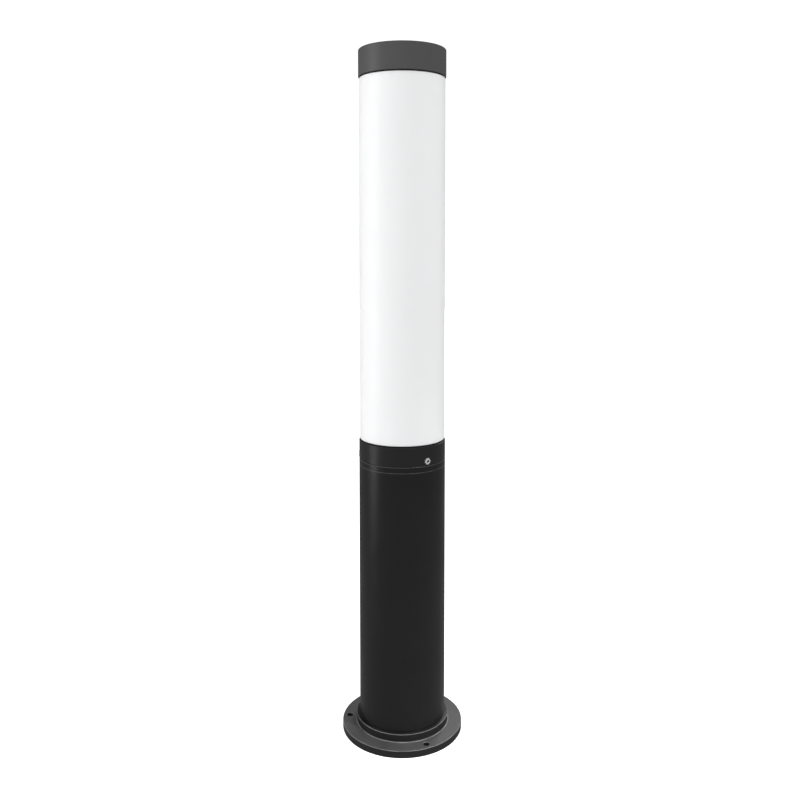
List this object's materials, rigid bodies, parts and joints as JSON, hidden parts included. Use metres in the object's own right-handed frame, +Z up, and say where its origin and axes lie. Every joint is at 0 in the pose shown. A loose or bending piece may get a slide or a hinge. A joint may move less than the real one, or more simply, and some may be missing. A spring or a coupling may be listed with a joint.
{
  "type": "bollard light",
  "caption": "Round garden bollard light: anchor flange, straight post, lift-off lamp head with a tall opal diffuser drum under a flat cap.",
  "frame": {"origin": "centre of the base flange's underside, on the ground", "axes": "+Z up along the post's axis; -Y is the front, towards the viewer in the picture; +X to the viewer's right"},
  "size_m": [0.107, 0.107, 0.6],
  "materials": {
    "flange_coat": "satin",
    "post_coat": "satin",
    "collar_coat": "satin",
    "cap_coat": "satin",
    "cast_aluminium": "satin",
    "opal_plastic": "satin",
    "black_rubber": "matte",
    "zinc_steel": "satin",
    "stainless": "satin",
    "porcelain": "gloss",
    "brass": "satin",
    "white_plastic": "satin",
    "black_plastic": "gloss",
    "brown_lead": "satin",
    "blue_lead": "satin",
    "green_lead": "satin"
  },
  "bodies": {
    "post": {"base_flange": "flange_coat", "post_tube": "post_coat", "post_adapter": "cast_aluminium", "cable_grommet": "black_rubber", "adapter_o_ring": "black_rubber", "adapter_screw_1": "zinc_steel", "adapter_screw_2": "zinc_steel", "adapter_screw_3": "zinc_steel", "base_screw_1": "zinc_steel", "base_screw_2": "zinc_steel", "base_screw_3": "zinc_steel", "lampholder_screw_1": "zinc_steel", "lampholder_screw_2": "zinc_steel", "bracket_screw_1": "zinc_steel", "bracket_screw_2": "zinc_steel", "block_screw_1": "zinc_steel", "block_screw_2": "zinc_steel", "clamp_screw_1": "zinc_steel", "clamp_screw_2": "zinc_steel", "clamp_screw_3": "zinc_steel", "clamp_screw_4": "zinc_steel", "clamp_screw_5": "zinc_steel", "clamp_screw_6": "zinc_steel", "terminal_bracket": "zinc_steel", "earth_lug": "zinc_steel", "earth_screw": "stainless", "lampholder_body": "porcelain", "lampholder_shell": "brass", "lampholder_contact": "brass", "terminal_insert_1": "brass", "terminal_insert_2": "brass", "terminal_insert_3": "brass", "terminal_block": "white_plastic", "live_lead": "brown_lead", "neutral_lead": "blue_lead", "earth_lead": "green_lead"},
    "lamp": {"lamp_contact": "brass", "lamp_insulator": "black_plastic", "lamp_cap_shell": "stainless", "lamp_housing": "white_plastic", "lamp_led_board": "cast_aluminium", "lamp_globe": "opal_plastic"},
    "head": {"collar_ring": "collar_coat", "lower_seal": "black_rubber", "diffuser": "opal_plastic", "upper_seal": "black_rubber", "top_cap": "cap_coat", "retaining_washer_1": "black_rubber", "retaining_washer_2": "black_rubber", "retaining_washer_3": "black_rubber"},
    "retaining_screw_1_body": {"retaining_screw_1": "stainless"},
    "retaining_screw_2_body": {"retaining_screw_2": "stainless"},
    "retaining_screw_3_body": {"retaining_screw_3": "stainless"}
  },
  "joints": [
    {"name": "head_lift", "type": "slide", "parent": "post", "child": "head", "axis": [0, 0, 1], "range_m": [0, 0.14]},
    {"name": "lamp_unscrew", "type": "slide", "parent": "post", "child": "lamp", "axis": [0, 0, 1], "range_m": [0, 0.028]},
    {"name": "retaining_screw_1_travel", "type": "slide", "parent": "head", "child": "retaining_screw_1_body", "axis": [0.5736, -0.8192, 0], "range_m": [0, 0.004]},
    {"name": "retaining_screw_2_travel", "type": "slide", "parent": "head", "child": "retaining_screw_2_body", "axis": [0.4226, 0.9063, 0], "range_m": [0, 0.004]},
    {"name": "retaining_screw_3_travel", "type": "slide", "parent": "head", "child": "retaining_screw_3_body", "axis": [-0.9962, -0.0872, 0], "range_m": [0, 0.004]}
  ]
}
